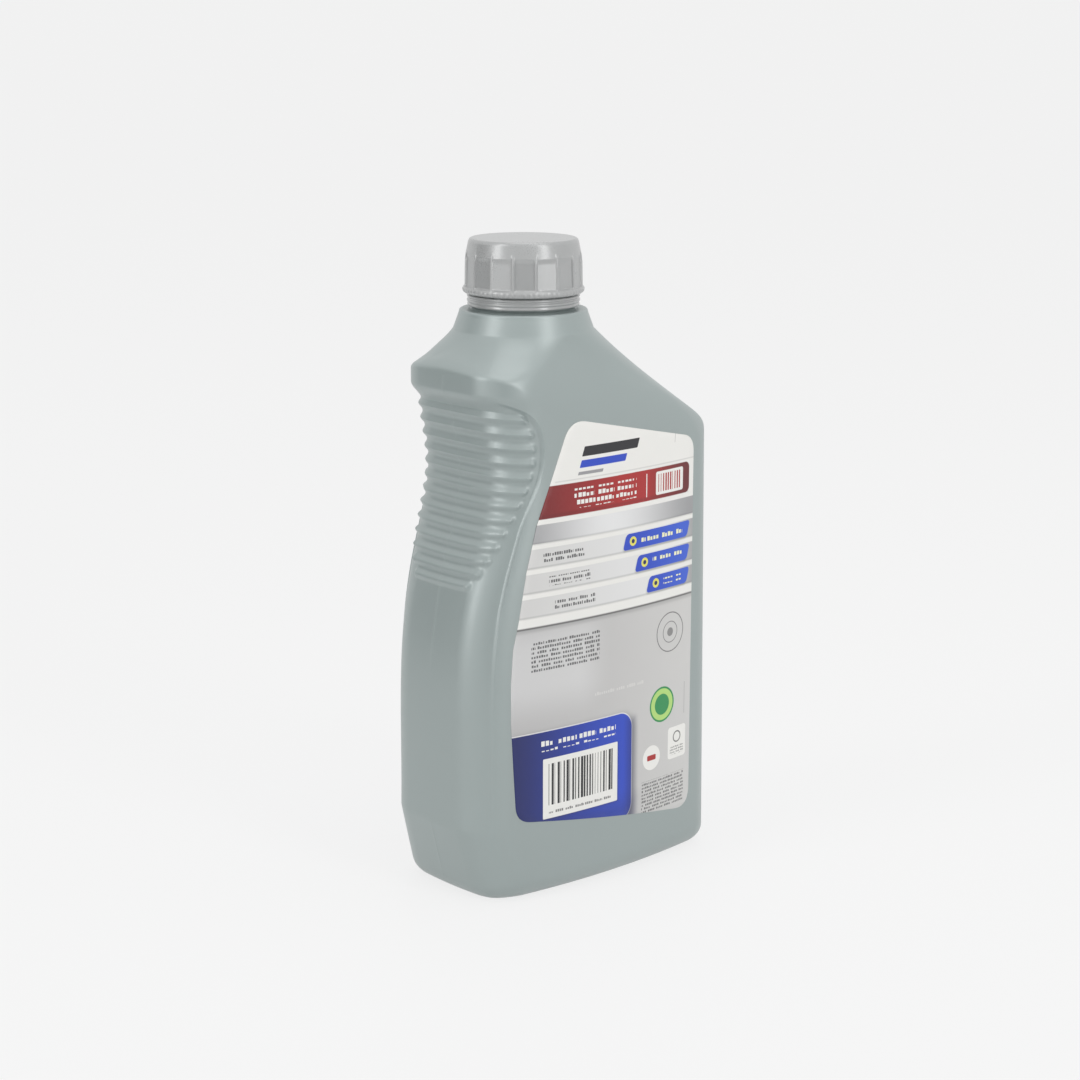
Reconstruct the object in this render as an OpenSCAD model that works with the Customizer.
// One-quart motor oil bottle: blow-moulded bottle with a ribbed grip at one
// end, a neck set towards the grip, a screw cap with a tamper band, and two
// labels. Millimetres. Width is along X with the grip at -X, depth is along Y,
// and the bottle stands on Z = 0 with its middle over the origin.

/* [Body] */
// Height of the body from the floor to the collar's foot
body_h = 197.7; // [185:0.1:215]
// Width of the bottle at its base
body_w = 115.6; // [90:0.2:140]
// Depth of the bottle from label face to label face
body_d = 62; // [50:0.5:75]
// Bow radius of the two label faces
face_r = 288; // [180:1:600]
// Bow radius of the far end wall
end_r = 310; // [150:1:600]
// Bow radius of the grip end wall
grip_end_r = 164; // [100:1:400]
// Upright corner radius at the far end
corner_r = 12.9; // [10:0.1:20]
// Upright corner radius at the grip end
grip_corner_r = 16.6; // [10:0.1:22]
// Lean of the far end wall over the height of the body
end_draft = 2.3; // [0:0.1:5]
// Wall thickness of the blown bottle
wall = 1; // [0.7:0.1:1.6]

/* [Base] */
// Radius of the base's edge under the label faces
base_edge_r = 8; // [4:0.5:9]
// Radius of the base's edge at the two ends
base_end_r = 5.6; // [4:0.1:8]
// Width of the flat ring that the bottle stands on, under the label faces
rest_w = 5; // [3:0.5:8]
// Width of the slope inside the rest ring
push_up_w = 4; // [2:0.5:8]
// Height of the push-up inside the rest ring
push_up = 1.6; // [0.5:0.1:3]
// Height of the sloped heel at the grip end
heel_h = 27.3; // [15:0.1:35]
// Inward slope of the heel at the grip end, over its whole height
heel_in = 7.1; // [0:0.1:10]

/* [Grip] */
// Height where the grip end starts to pull in
waist_start_z = 45; // [35:1:70]
// Height of the waist under the collar's foot
waist_drop = 46.7; // [38:0.1:65]
// Depth of the waist from the upright end wall
waist_in = 14.4; // [8:0.1:18]
// Pull-in of the grip end just under the brow
recess_in = 10.9; // [7:0.1:12]
// Height of the brow's lower turn under the collar's foot
brow_drop = 19.7; // [16:0.1:24]
// Height over which the grip turns out into the brow
brow_soft = 5; // [3:0.5:8]
// Pull-in of the brow from the upright end wall
brow_in = 7.1; // [4:0.1:9]
// Number of grip ribs
rib_count = 13; // [6:1:16]
// Mean pitch of the grip ribs
rib_pitch = 4.89; // [4:0.01:5.2]
// Share by which the pitch grows towards the top rib and shrinks at the lowest
rib_spread = 0.09; // [0.01:0.01:0.3]
// Height of the top grip rib under the brow's lower turn
rib_top_drop = 6; // [4:0.1:12]
// Height of a grip rib above the grip
rib_h = 1.15; // [0.5:0.05:2]
// Share by which the ribs draw together towards their ends
rib_fan = 0.04; // [0:0.01:0.15]
// Gap between the upper ribs and the crease beside the label face
rib_gap = 2.6; // [2:0.1:8]
// Extra gap at the lowest rib
rib_gap_low = 10.8; // [0:0.1:15]
// Depth of the lip at the crease beside the ribs
lip_depth = 1.1; // [0.3:0.1:2]
// Depth of the lip at the crease below the ribs
lip_low = 0.35; // [0:0.05:1]

/* [Shoulder] */
// Height of the shoulder edge over the grip, under the collar's foot
edge_grip_drop = 10.1; // [7:0.1:14]
// Height of the shoulder edge at the far end, under the collar's foot
edge_far_drop = 37.5; // [28:0.1:44]
// Blend below the shoulder edge over the grip
blend_grip = 2.2; // [1:0.1:5]
// Blend below the shoulder edge at the label faces
blend_face = 10; // [4:0.5:16]
// Distance from the brow's end at which the blend starts to widen
blend_start = 6; // [2:0.5:12]
// Length over which the blend widens
blend_run = 22; // [10:1:40]
// Blend below the shoulder edge at the far end
blend_far = 2.6; // [1.5:0.1:8]
// Depth of the hollow of the shoulder's slope
shoulder_sag = 0.9; // [0:0.1:2]

/* [Neck] */
// Offset of the neck from the middle of the bottle
neck_x = -14.4; // [-20:0.1:0]
// Radius of the collar at its foot
collar_foot_r = 24.4; // [23:0.1:28]
// Radius of the collar at its rim
collar_rim_r = 22.3; // [21:0.1:24]
// Height of the collar
collar_h = 6.9; // [4:0.1:10]
// Height of the neck above the collar
neck_h = 22; // [18:0.1:30]
// Radius of the neck outside its thread
neck_r = 17.55; // [16:0.05:19]
// Wall thickness of the neck
neck_wall = 2.05; // [1.5:0.05:3]
// Height of the neck bead that holds the tamper band down
neck_bead_h = 1.4; // [0.8:0.1:2]
// Reach of the neck bead beyond the neck
neck_bead_out = 1.15; // [0.6:0.05:1.4]

/* [Cap] */
// Outer radius of the cap at its foot, on the ribs' root
cap_r = 20.5; // [19.5:0.1:23]
// Outer radius of the cap at its top edge
cap_top_r = 18.9; // [17:0.1:20]
// Height of the sloped crown under the cap's top
cap_crown_h = 5.5; // [3:0.1:8]
// Height of the cap's skirt from its foot to the inside of its top
cap_skirt_h = 17.7; // [15:0.1:20]
// Thickness of the cap's top
cap_top_t = 1.2; // [0.8:0.1:2]
// Radial room between the neck and the inside of the cap, for the thread
thread_room = 1.25; // [1:0.05:1.6]
// Number of ribs round the cap
cap_rib_count = 16; // [8:1:32]
// Width of a cap rib
cap_rib_w = 1.1; // [0.6:0.1:2]
// Height of a cap rib above the corner between two flats
cap_rib_out = 0.3; // [0.1:0.05:0.8]
// Turn of the first cap rib from the X axis
cap_rib_turn = 16.2; // [0:0.1:22]
// Height of the bead at the cap's foot
cap_bead_h = 2.4; // [1:0.1:3.5]
// Reach of the bead at the cap's foot
cap_bead_out = 0.7; // [0.3:0.1:1.2]
// Radius of the liner in the cap
liner_r = 17.5; // [16.5:0.1:17.8]
// Thickness of the liner in the cap
liner_t = 1; // [0.6:0.1:2]
// Gap above and below the liner
liner_gap = 0.1; // [0.05:0.05:0.3]

/* [Tamper band] */
// Outer radius of the band
band_r = 19.65; // [19:0.05:21]
// Wall thickness of the band
band_t = 0.75; // [0.5:0.05:1]
// Height of the band
band_h = 3.8; // [3:0.1:4.6]
// Gap between the band and the cap's foot
band_gap = 0.4; // [0.3:0.1:1]

/* [Labels] */
// Thickness of a label
label_t = 0.2; // [0.1:0.05:0.4]
// Far edge of a label from the middle
label_far_x = 42.2; // [35:0.1:45]
// Grip side edge of a label from the middle, at its widest
label_grip_x = -44.1; // [-48:0.1:-35]
// Height of a label's lower edge at the far end
label_low_z = 17; // [14:0.5:30]
// Height of a label's lower edge at the grip end
label_low_grip_z = 31; // [14:0.5:40]
// Height of a label's top edge at the far end, under the collar's foot
label_top_far_drop = 41.2; // [39:0.1:60]
// Height of a label's top corner near the grip, under the collar's foot
label_top_drop = 27.7; // [26:0.1:38]
// Place of the top corner near the grip
label_top_x = -19.5; // [-24:0.5:-10]
// Corner radius of a label
label_corner_r = 7; // [3:0.5:10]

/* [Hidden] */
$fn = 96;
// Heights that follow from the sizes above
collar_z = body_h;
waist_z = body_h - waist_drop;
brow_z = body_h - brow_drop;
rib_top_z = brow_z - rib_top_drop;
rib_low_z = rib_top_z - (rib_count - 1) * rib_pitch;
rib_mid_z = (rib_top_z + rib_low_z) / 2;
ribs_from = rib_low_z - 1.5 * rib_pitch;
shoulder_grip_z = body_h - edge_grip_drop;
shoulder_far_z = body_h - edge_far_drop;
label_top_z = body_h - label_top_drop;
label_top_far_z = body_h - label_top_far_drop;
ledge_z = collar_z + collar_h;
neck_top_z = ledge_z + neck_h;
cap_in_r = neck_r + thread_room;
cap_in_top_z = neck_top_z + 2 * liner_gap + liner_t;
cap_foot_z = cap_in_top_z - cap_skirt_h;
cap_top_z = cap_in_top_z + cap_top_t;
band_top_z = cap_foot_z - band_gap;
band_foot_z = band_top_z - band_h;
// The neck bead sits just over the band's inner lip
bead_z = band_foot_z + 1.6;
grip_x = -body_w / 2;
far_x = body_w / 2;
face_c = [0, face_r - body_d / 2];
collar_in_r = collar_foot_r - 2.1;

// Smooth step from 0 to 1
function clamp01(t) = max(0, min(1, t));
function ease(t) = let (c = clamp01(t)) c * c * (3 - 2 * c);
function blend(a, b, t) = a + (b - a) * t;
function turned(a) = [cos(a), sin(a)];

// Centre of a corner of radius r that rolls inside two larger bows
function corner_c(c1, r1, c2, r2, r) =
    let (
        a = r1 - r,
        b = r2 - r,
        gap = norm(c2 - c1),
        e = (c2 - c1) / gap,
        along = (a * a - b * b + gap * gap) / (2 * gap),
        off = sqrt(max(0, a * a - along * along)),
        k1 = c1 + along * e + off * [-e[1], e[0]],
        k2 = c1 + along * e - off * [-e[1], e[0]]
    )
    k1[1] < k2[1] ? k1 : k2;

function bearing(v) = atan2(v[1], v[0]);
function wrapped(a) = a > 0 ? a - 360 : a;

// Shares of the way up from the waist's start to the waist, and on to the brow
function rise(z) = (z - waist_start_z) / (waist_z - waist_start_z);
function fall(z) = (z - waist_z) / (brow_z - waist_z);
// Share of the turn from the grip into the brow
function brow_turn(z) = ease((z - brow_z) / brow_soft + 0.6);

// Pull-in of the grip end at height z: heel, long waist, recess and brow
function grip_in(z) =
    let (
        up = clamp01(rise(z)),
        low = waist_in * pow(sin(90 * up * up), 2),
        high = blend(waist_in, recess_in, pow(sin(90 * clamp01(fall(z))), 2)),
        heel = heel_in * clamp01(1 - z / heel_h)
    )
    blend(z < waist_z ? low : high, brow_in, brow_turn(z)) + heel;

// Half outline at height z, from the grip end's middle round the near face to
// the far end's middle: five arcs, each as [centre, radius, first, last angle]
function outline(z) =
    let (
        gx = grip_x + grip_in(z) - 0.6 * lip(z),
        fx = far_x - end_draft * (z - base_edge_r) / (shoulder_far_z - base_edge_r),
        gc = [gx + grip_end_r, 0],
        fc = [fx - end_r, 0],
        kg = corner_c(face_c, face_r, gc, grip_end_r, grip_corner_r),
        kf = corner_c(face_c, face_r, fc, end_r, corner_r),
        a1 = wrapped(bearing(kg - gc)),
        a2 = bearing(kg - face_c),
        a3 = bearing(kf - face_c),
        a4 = bearing(kf - fc)
    )
    [
        [gc, grip_end_r, -180, a1],
        [kg, grip_corner_r, a1, a2],
        [face_c, face_r, a2, a3],
        [kf, corner_r, a3, a4],
        [fc, end_r, a4, 0]
    ];

// Place of the crease on the grip corner, from 0 at the end to 1 at the face
function crease(z) =
    let (
        f = blend(0.655, 0.945, ease((rise(z) - 0.81) / 0.32)),
        top = clamp01(2 * fall(z) - 1)
    )
    blend(f, 0.45, top * top * top);

// Columns round half of the outline: [arc, place on it, side of the crease].
// Places on the grip corner are shares of the stretch up to or past the crease
lip_half = 0.035;
COLS = [
    [0, 0, 1], [0, 0.5, 1],
    [1, 0, 1], [1, 0.22, 1], [1, 0.44, 1], [1, 0.64, 1], [1, 0.83, 1], [1, 1, 1],
    [1, 0, 0], [1, 0.5, 0],
    [2, 0, 0], [2, 0.22, 0], [2, 0.48, 0], [2, 0.76, 0],
    [3, 0, 0], [3, 0.25, 0], [3, 0.5, 0], [3, 0.75, 0],
    [4, 0, 0]
];
FAR_COL = [4, 1, 0];

function place(col, z) =
    col[0] != 1 ? col[1] :
    col[2] == 1 ? col[1] * (crease(z) - lip_half) :
    blend(crease(z) + lip_half, 1, col[1]);

// Length round the wall from the grip end's middle
function reach(col, o, f) =
    let (first = o[0][1] * (o[0][3] + 180) * PI / 180)
    col[0] == 0 ? f * first : first + f * o[1][1] * (o[1][3] - o[1][2]) * PI / 180;

// Height of a rib, t from 0 at the lowest to 1 at the top rib, and its inverse
function rib_z(t) = blend(rib_low_z, rib_top_z, t * (1 - rib_spread * (1 - t)));
function rib_t(z) =
    let (
        away = 1 - rib_spread,
        share = (z - rib_low_z) / (rib_top_z - rib_low_z)
    )
    (sqrt(max(0, away * away + 4 * rib_spread * share)) - away) / (2 * rib_spread);

// Share by which a rib is drawn in at reach s, with the crease at reach sc
function rib_draw(s, sc) = rib_fan * pow(clamp01(s / sc), 3);

// Height of the ribs at height z, reach s, with the crease at reach sc
function ribs(z, s, sc) =
    let (
        draw = rib_draw(s, sc),
        flat = (z - draw * rib_mid_z) / (1 - draw),
        k = round((1 - rib_t(flat)) * (rib_count - 1)),
        off = flat - rib_z(1 - k / (rib_count - 1)),
        stop = sc - rib_gap - rib_gap_low * pow(clamp01(k / (rib_count - 1)), 4)
    )
    k < 0 || k > rib_count - 1 ? 0 :
    rib_h * pow(max(0, cos(180 * off / rib_pitch)), 3) * ease((stop + 1.2 - s) / 2.4);

// Depth of the lip beside the crease
function lip(z) =
    blend(lip_low, lip_depth, ease(1.75 * rise(z) - 0.25))
    * ease(1.37 * z / heel_h - 1)
    * (1 - brow_turn(z));

// Point of the wall on column col at height z, pushed in by d
function wall_pt(col, z, d, ribbed) =
    let (
        o = outline(z),
        f = place(col, z),
        arc = o[col[0]],
        a = blend(arc[2], arc[3], f),
        dent = col[2] == 1 ? lip(z) : 0,
        raise = ribbed && col[2] == 1 ? ribs(z, reach(col, o, f), reach([1], o, crease(z))) : 0,
        p = arc[0] + (arc[1] - d - dent + raise) * turned(a)
    )
    [p[0], p[1], z];

// Bearing of the wall on a column, which also places it round the collar
function wall_turn(col, z) =
    let (arc = outline(z)[col[0]])
    blend(arc[2], arc[3], place(col, z));

// The same bearing near the top of the wall
function upper_turn(col) = wall_turn(col, brow_z - 8);

// Shoulder edge: an inclined line from the grip to the far end
function edge_z(x) =
    blend(shoulder_grip_z, shoulder_far_z, (x - grip_x - brow_in) / (body_w - brow_in - end_draft));

// Blend below the edge: crisp round the grip end, wide on the label faces
function drop(col) =
    let (
        side = abs(sin(upper_turn(col))),
        past = edge_pt(col)[0] - grip_x - brow_in - blend_start,
        near_grip = blend(blend_grip, blend_face, ease(past / blend_run)),
        near_far = blend(blend_far, blend_face, ease((side - 0.55) / 0.45))
    )
    min(near_grip, near_far);

// Corner of the shoulder on a column, found in two steps
function edge_pt(col) =
    let (
        p = wall_pt(col, shoulder_grip_z - 6, 0, false),
        q = wall_pt(col, edge_z(p[0]), 0, false)
    )
    [q[0], q[1], edge_z(q[0])];

function collar_pt(col) =
    let (a = wall_turn(col, brow_z))
    [neck_x + (collar_foot_r + 0.15) * cos(a), (collar_foot_r + 0.15) * sin(a), collar_z];

// Heights of the wall's rings at the grip, up to the brow
WALL_Z = concat(
    [heel_h - 1.5, heel_h + 1.5],
    [for (t = [0, 0.28, 0.52, 0.72, 0.88, 1]) blend(waist_start_z, ribs_from, t)],
    [for (k = [rib_count - 1:-1:0]) for (t = [-1.75, -0.85, 0, 0.85, 1.75])
        rib_z(1 - k / (rib_count - 1)) + t],
    [brow_z - 3.5, brow_z - 2, brow_z - 0.6, brow_z + 1, brow_z + 2]
);
// Heights of the rings of the hollow, which has no ribs
HOLLOW_Z = concat(
    [heel_h],
    [for (t = [0, 0.28, 0.52, 0.72, 0.88]) blend(waist_start_z, ribs_from, t)],
    [for (t = [0.05:0.12:0.9]) blend(ribs_from, brow_z - 4, t)],
    [brow_z - 4, brow_z + 1]
);

// Ring height on a column: level round the grip, drawn down under the
// shoulder's blend elsewhere
function level(col, z) =
    let (
        e = edge_pt(col),
        top = e[2] - drop(col) - 1,
        wall_top = shoulder_grip_z - blend_grip - 1,
        fade = ease((z - ribs_from + 5) / 12) * (1 - ease((z - rib_top_z) / rib_pitch)),
        fan = col[2] == 1 ? rib_fan * fade : 0,
        sc = reach([1], outline(z), crease(z)),
        s = reach(col, outline(z), place(col, z)),
        share = col[2] == 1 ? 0 : col[0] == 1 ? 0.3 + 0.4 * col[1] : 1,
        drawn = ribs_from + (z - ribs_from) * (top - ribs_from) / (wall_top - ribs_from)
    )
    z < ribs_from ? z :
    blend(z + fan * pow(clamp01(s / sc), 3) * (rib_mid_z - z), drawn, share);

function mirrored(half, last) =
    concat(half, [last], [for (i = [len(half) - 1:-1:1]) [half[i][0], -half[i][1], half[i][2]]]);

function wall_ring(z, d, ribbed) =
    mirrored(
        [for (c = COLS) wall_pt(c, level(c, z), d, ribbed)],
        wall_pt(FAR_COL, level(FAR_COL, z), d, false)
    );

// Radius of the base's edge by where the wall faces
function edge_r(col) =
    blend(base_end_r, base_edge_r, ease((abs(sin(wall_turn(col, base_edge_r))) - 0.4) / 0.6));

// Point of the base's edge at turn t, from 0 underneath to 90 on the wall, on
// the skin that lies d inside the bottle
function edge_bend(col, t, d) =
    let (r = edge_r(col))
    wall_pt(col, d + r * (1 - cos(t)), d + r * (1 - sin(t)), false);

function base_ring(t, d) =
    mirrored([for (c = COLS) edge_bend(c, t, d)], edge_bend(FAR_COL, t, d));

// Point of the shoulder on a column: t from 0 to 1 over the blend and from
// 1 to 2 up the slope to the collar. The inside lies d under it
function shoulder_pt(col, t, d) =
    let (
        e = edge_pt(col),
        c = collar_pt(col),
        run = norm(c - e),
        slope = (c - e) / run,
        turn = upper_turn(col),
        low_z = e[2] - drop(col),
        a = wall_pt(col, low_z, 0, false),
        on = min(run * 0.7, 2.1 * drop(col)),
        b = e + slope * on,
        u = min(t, 1),
        bend = (1 - u) * (1 - u) * a + 2 * u * (1 - u) * e + u * u * b,
        p = t <= 1 ? bend : b + (c - b) * (t - 1),
        tilt = atan2(c[2] - e[2], norm([c[0] - e[0], c[1] - e[1]])),
        lean = blend(0, 90 - tilt, ease(u)),
        up = blend(on / run * u * u, 1, clamp01(t - 1)),
        sag = 6 * shoulder_sag * pow(up, 1.7) * (1 - up)
    )
    p - (d + sag) * [cos(turn) * cos(lean), sin(turn) * cos(lean), sin(lean)];

function shoulder_ring(t, d) =
    mirrored([for (c = COLS) shoulder_pt(c, t, d)], shoulder_pt(FAR_COL, t, d));

// Faces of a stack of closed rings of n points, with flat ends
function stack_faces(rings, n) =
    concat(
        [[for (i = [0:n - 1]) i]],
        [for (r = [0:rings - 2]) for (i = [0:n - 1])
            [r * n + i, (r + 1) * n + i, r * n + (i + 1) % n]],
        [for (r = [0:rings - 2]) for (i = [0:n - 1])
            [r * n + (i + 1) % n, (r + 1) * n + i, (r + 1) * n + (i + 1) % n]],
        [[for (i = [n - 1:-1:0]) (rings - 1) * n + i]]
    );

// Ring under the base, drawn in by w from the base's edge at the label faces
function under_ring(z, w, d) =
    let (k = 1 - w / (body_d / 2 - base_edge_r))
    [for (p = base_ring(0, d)) [p[0] * k, p[1] * k, z]];

// Blown shell as one skin: up the outside, over into the collar and down the
// inside
module shell() {
    outer = concat(
        [under_ring(push_up, rest_w + push_up_w, 0)],
        [under_ring(0, rest_w, 0)],
        [for (t = [0, 22.5, 45, 67.5, 90]) base_ring(t, 0)],
        [for (z = WALL_Z) wall_ring(z, 0, true)],
        [for (t = [0, 0.25, 0.5, 0.75, 1, 1.25, 1.5, 1.75, 2, 2.06]) shoulder_ring(t, 0)]
    );
    inner = concat(
        [for (t = [2.02, 1.75, 1.5, 1.25, 1, 0.5, 0]) shoulder_ring(t, wall)],
        [for (i = [len(HOLLOW_Z) - 1:-1:0]) wall_ring(HOLLOW_Z[i], wall, false)],
        [for (t = [90, 45, 0]) base_ring(t, wall)],
        [under_ring(wall, rest_w, wall)],
        [under_ring(wall + push_up, rest_w + push_up_w, wall)]
    );
    rings = concat(outer, inner);
    n = len(rings[0]);
    polyhedron(points = [for (r = rings) each r], faces = stack_faces(len(rings), n));
}

// Collar, neck and neck bead, turned as one
module neck() {
    bore_r = neck_r - neck_wall;
    translate([neck_x, 0, 0])
        rotate_extrude()
            polygon([
                [bore_r, neck_top_z],
                [bore_r, ledge_z - 1.5],
                [collar_in_r, collar_z + 1.2],
                [collar_in_r, collar_z - 0.6],
                [collar_foot_r - 0.25, collar_z - 0.6],
                [collar_foot_r - 0.1, collar_z + 0.6],
                [collar_rim_r + 0.25, ledge_z - 1.4],
                [collar_rim_r - 0.05, ledge_z - 0.6],
                [collar_rim_r - 0.45, ledge_z - 0.15],
                [collar_rim_r - 1, ledge_z],
                [neck_r, ledge_z],
                [neck_r, bead_z],
                [neck_r + neck_bead_out, bead_z + 0.2],
                [neck_r + neck_bead_out, bead_z + 0.6],
                [neck_r, bead_z + neck_bead_h],
                [neck_r, neck_top_z - 0.6],
                [neck_r - 0.6, neck_top_z]
            ]);
}

module bottle() {
    color([0.62, 0.67, 0.67]) {
        shell();
        neck();
    }
}

// Cap: turned body with flats between its ribs, and a bead round its foot
module cap() {
    crown_z = cap_top_z - cap_crown_h;
    flat_r = cap_r * cos(180 / cap_rib_count);
    color([0.72, 0.73, 0.73])
        translate([neck_x, 0, 0])
            difference() {
                union() {
                    difference() {
                        rotate_extrude()
                            polygon([
                                [0, cap_foot_z],
                                [cap_r, cap_foot_z],
                                [cap_r - 0.2, crown_z - 3],
                                [cap_r - 0.5, crown_z],
                                [cap_top_r, cap_top_z - 1],
                                [cap_top_r - 0.3, cap_top_z - 0.3],
                                [cap_top_r - 1, cap_top_z],
                                [0, cap_top_z]
                            ]);
                        for (i = [0:cap_rib_count - 1])
                            rotate(cap_rib_turn + (i + 0.5) * 360 / cap_rib_count)
                                translate([flat_r - 0.1, -cap_r, cap_foot_z - 1])
                                    cube([cap_r, 2 * cap_r, cap_crown_h + cap_skirt_h]);
                    }
                    for (i = [0:cap_rib_count - 1])
                        rotate(cap_rib_turn + i * 360 / cap_rib_count)
                            cap_rib(crown_z);
                    rotate_extrude()
                        polygon([
                            [cap_in_r + 0.5, cap_foot_z],
                            [cap_r - 0.3, cap_foot_z],
                            [cap_r + cap_bead_out * 0.6, cap_foot_z + cap_bead_h * 0.2],
                            [cap_r + cap_bead_out, cap_foot_z + cap_bead_h * 0.45],
                            [cap_r + cap_bead_out, cap_foot_z + cap_bead_h * 0.7],
                            [cap_r + cap_bead_out * 0.4, cap_foot_z + cap_bead_h],
                            [cap_in_r + 0.5, cap_foot_z + cap_bead_h]
                        ]);
                }
                rotate_extrude()
                    polygon([
                        [0, cap_foot_z - 1],
                        [cap_in_r, cap_foot_z - 1],
                        [cap_in_r, cap_in_top_z - 3.6],
                        [liner_r + 0.3, cap_in_top_z - liner_t],
                        [liner_r + 0.3, cap_in_top_z],
                        [0, cap_in_top_z]
                    ]);
            }
}

// One upright rib of the cap, fading into the crown
module cap_rib(crown_z) {
    out_r = cap_r + cap_rib_out;
    rotate([90, 0, 0])
        translate([0, 0, -cap_rib_w / 2])
            linear_extrude(cap_rib_w)
                polygon([
                    [cap_in_r + 0.6, cap_foot_z + 0.4],
                    [out_r, cap_foot_z + 0.4],
                    [out_r - 0.2, crown_z - 2.5],
                    [out_r - 0.5, crown_z + 0.3],
                    [cap_top_r + 0.45, crown_z + 2.2],
                    [cap_in_r - 0.4, cap_top_z - 1.4],
                    [cap_in_r + 0.6, crown_z - 2]
                ]);
}

// Compressible disc that seals on the neck's top
module cap_liner() {
    color([0.93, 0.93, 0.9])
        translate([neck_x, 0, neck_top_z + liner_gap])
            cylinder(h = liner_t, r = liner_r);
}

// Tamper band, held down by its inner lip under the neck bead
module tamper_band() {
    in_r = band_r - band_t;
    lip_r = neck_r + 0.3;
    color([0.7, 0.71, 0.71])
        translate([neck_x, 0, 0])
            rotate_extrude()
                polygon([
                    [in_r, band_top_z],
                    [in_r, bead_z - 0.3],
                    [lip_r, bead_z - 0.3],
                    [lip_r, bead_z - 0.9],
                    [in_r - 0.2, band_foot_z],
                    [band_r - 0.15, band_foot_z],
                    [band_r, band_foot_z + 0.3],
                    [band_r, band_foot_z + band_h * 0.45],
                    [band_r - 0.25, band_foot_z + band_h * 0.52],
                    [band_r - 0.25, band_foot_z + band_h * 0.66],
                    [band_r - 0.05, band_foot_z + band_h * 0.74],
                    [band_r - 0.05, band_top_z - 0.2],
                    [band_r - 0.3, band_top_z]
                ]);
}

// Height on a label's grip side, as a share of the way from bottom to top
function label_z(t) = blend(label_low_grip_z, label_top_z, t);

// Label outline, in X and Z: its grip side follows the waist
module label_outline() {
    offset(r = label_corner_r)
        offset(delta = -label_corner_r)
            polygon([
                [label_grip_x + 2.2, label_low_grip_z - 1],
                [label_far_x, label_low_z],
                [label_far_x, label_top_far_z],
                [label_top_x, label_top_z],
                [label_grip_x + 10.4, label_z(0.745)],
                [label_grip_x + 6.3, label_z(0.633)],
                [label_grip_x + 3, label_z(0.504)],
                [label_grip_x + 0.8, label_z(0.439)],
                [label_grip_x, label_z(0.3525)],
                [label_grip_x, label_z(0.252)],
                [label_grip_x + 0.9, label_z(0.137)]
            ]);
}

// Label on the near face, bent to the face's bow
module label_sheet() {
    intersection() {
        rotate([90, 0, 0])
            linear_extrude(body_d)
                label_outline();
        translate([face_c[0], face_c[1], 0])
            difference() {
                cylinder(h = label_top_z + 10, r = face_r + label_t, $fn = 720);
                translate([0, 0, -1])
                    cylinder(h = label_top_z + 12, r = face_r, $fn = 720);
            }
    }
}

module back_label() {
    color([0.85, 0.86, 0.87])
        label_sheet();
}

module front_label() {
    color([0.9, 0.91, 0.92])
        mirror([0, 1, 0])
            label_sheet();
}

bottle();
cap();
cap_liner();
tamper_band();
front_label();
back_label();
